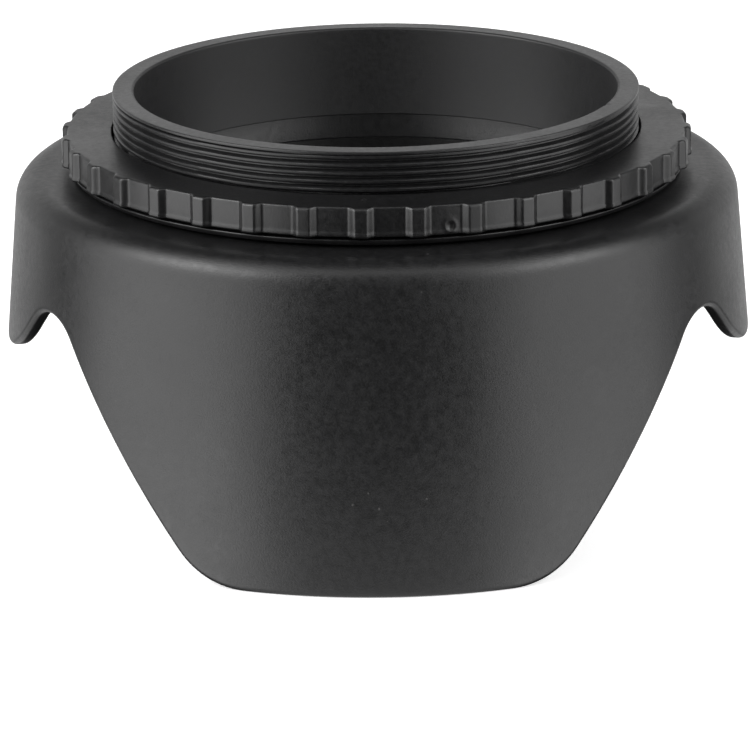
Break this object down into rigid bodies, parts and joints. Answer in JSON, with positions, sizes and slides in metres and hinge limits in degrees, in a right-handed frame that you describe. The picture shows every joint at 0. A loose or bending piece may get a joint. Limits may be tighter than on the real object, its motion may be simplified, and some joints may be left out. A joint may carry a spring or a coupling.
{
  "type": "lens hood",
  "caption": "Black plastic petal lens hood: a flared scalloped shade, a fine male screw thread that fits a lens's filter thread, and a ribbed locking ring that turns on that thread.",
  "frame": {"origin": "on the optical axis, in the plane of the two long petals' tips that the hood stands on", "axes": "+Z along the optical axis, from the petals to the threaded end; the long petals are at -Y and +Y, the short petals at -X and +X"},
  "size_m": [0.07, 0.0724, 0.0377],
  "materials": {
    "shade_plastic": "black ABS with a fine moulded grain, matt",
    "collar_plastic": "black ABS, smoother, satin",
    "ring_plastic": "black ABS, satin, with rubbed edges"
  },
  "bodies": {
    "hood": {"petal_shade": "shade_plastic", "threaded_collar": "collar_plastic"},
    "locking_ring": {"locking_ring": "ring_plastic"}
  },
  "joints": [
    {"name": "locking_ring_turn", "type": "hinge", "parent": "hood", "child": "locking_ring", "pos_m": [0, 0, 0.03256], "axis": [0, 0, 1], "range_deg": [-134, 1828]}
  ]
}
